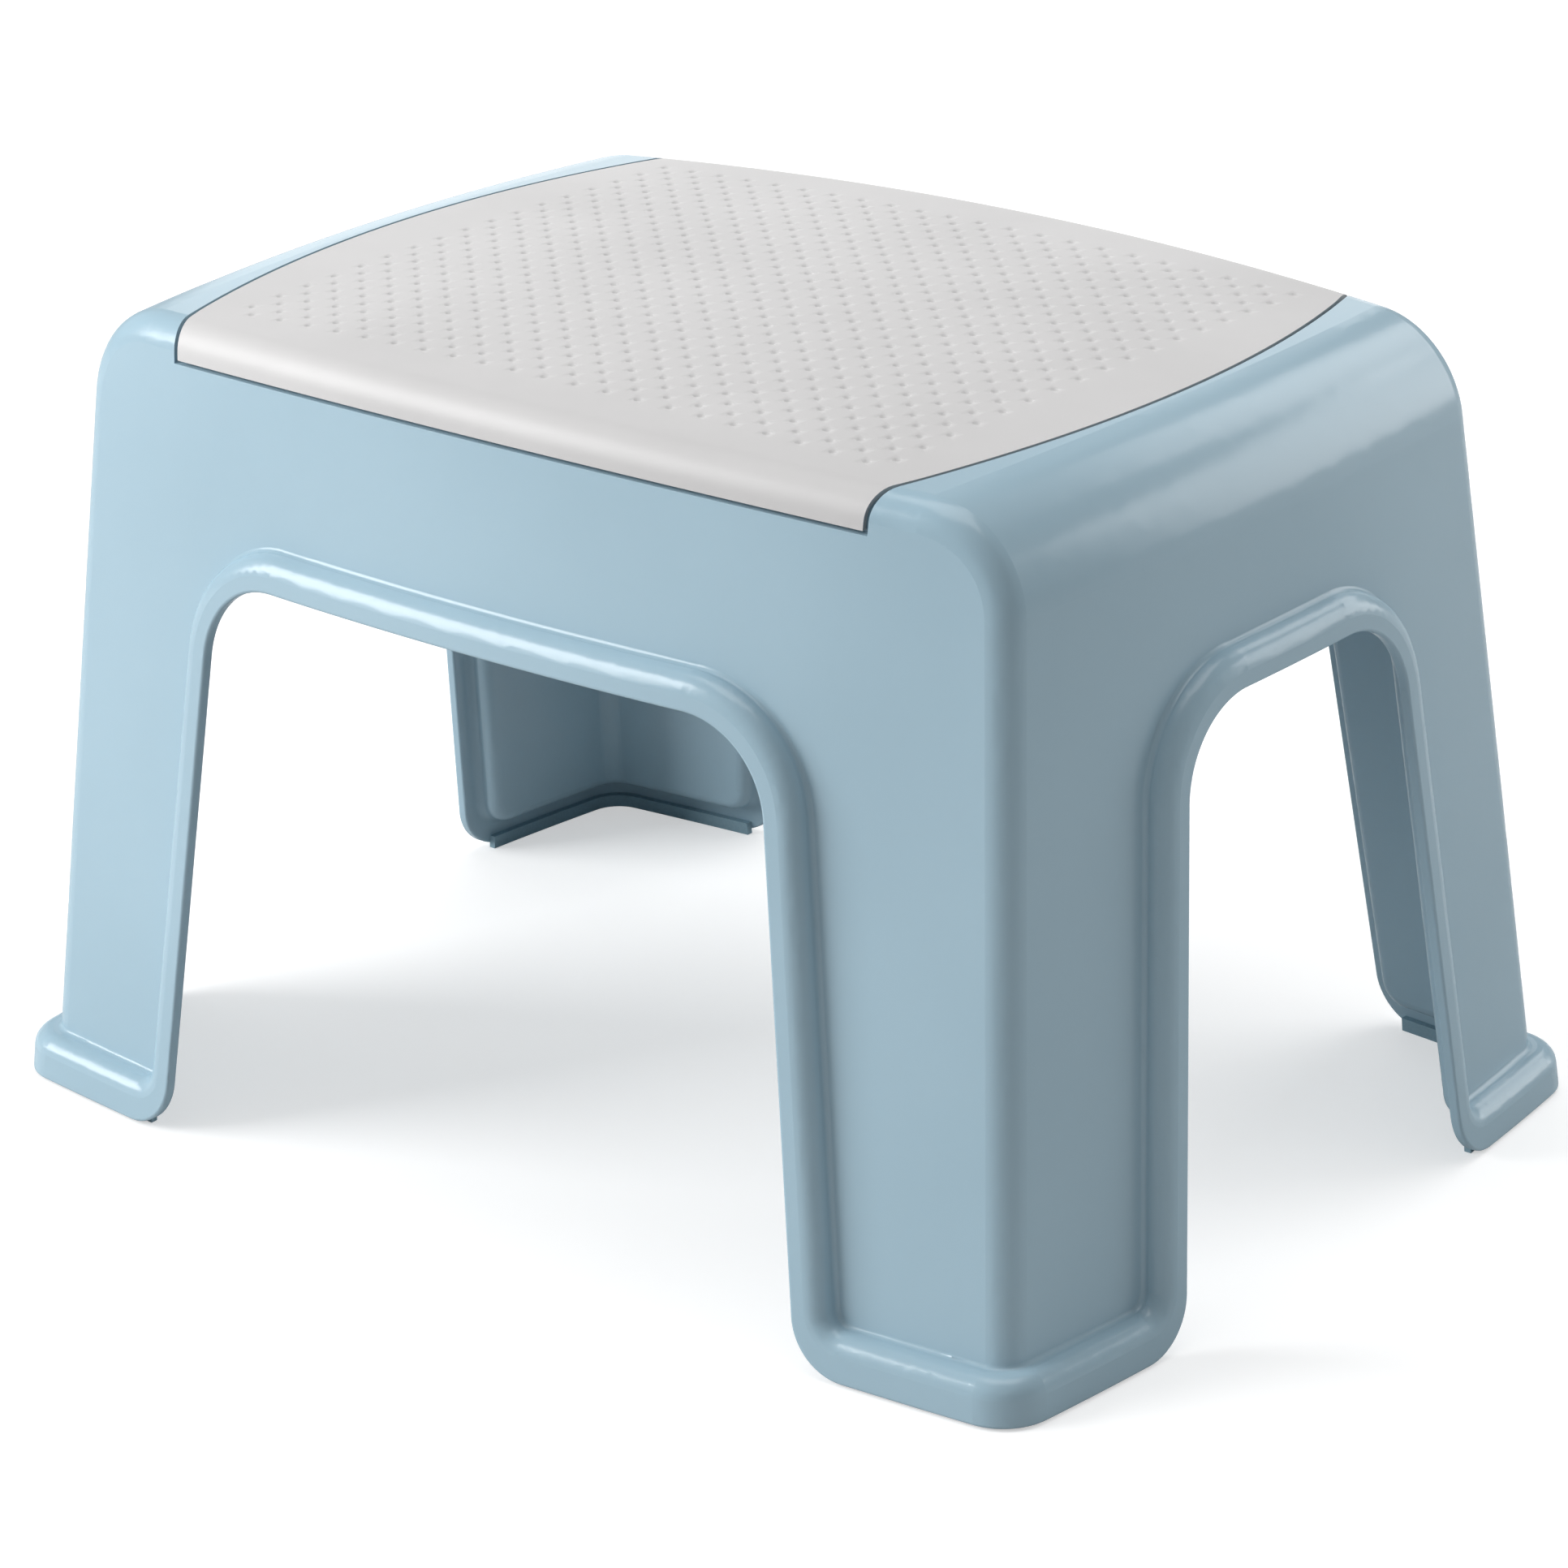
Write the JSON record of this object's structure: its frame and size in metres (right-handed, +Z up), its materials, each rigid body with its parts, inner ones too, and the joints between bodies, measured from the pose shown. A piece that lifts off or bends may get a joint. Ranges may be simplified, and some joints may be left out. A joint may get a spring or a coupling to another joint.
{
  "type": "kick step stool",
  "caption": "One-step moulded plastic stool with four splayed legs, arched sides and a textured tread insert.",
  "frame": {"origin": "centre of the footprint, on the floor that the foot pads stand on", "axes": "+X along the stool's length, +Z up from the floor through the tread"},
  "size_m": [0.3682, 0.2656, 0.23],
  "materials": {
    "shell_plastic": "satin",
    "insert_plastic": "satin",
    "pad_rubber": "matte"
  },
  "bodies": {
    "root": {"stool_shell": "shell_plastic", "tread_insert": "insert_plastic", "foot_pad_front_left": "pad_rubber", "foot_pad_front_right": "pad_rubber", "foot_pad_back_left": "pad_rubber", "foot_pad_back_right": "pad_rubber"}
  },
  "joints": []
}
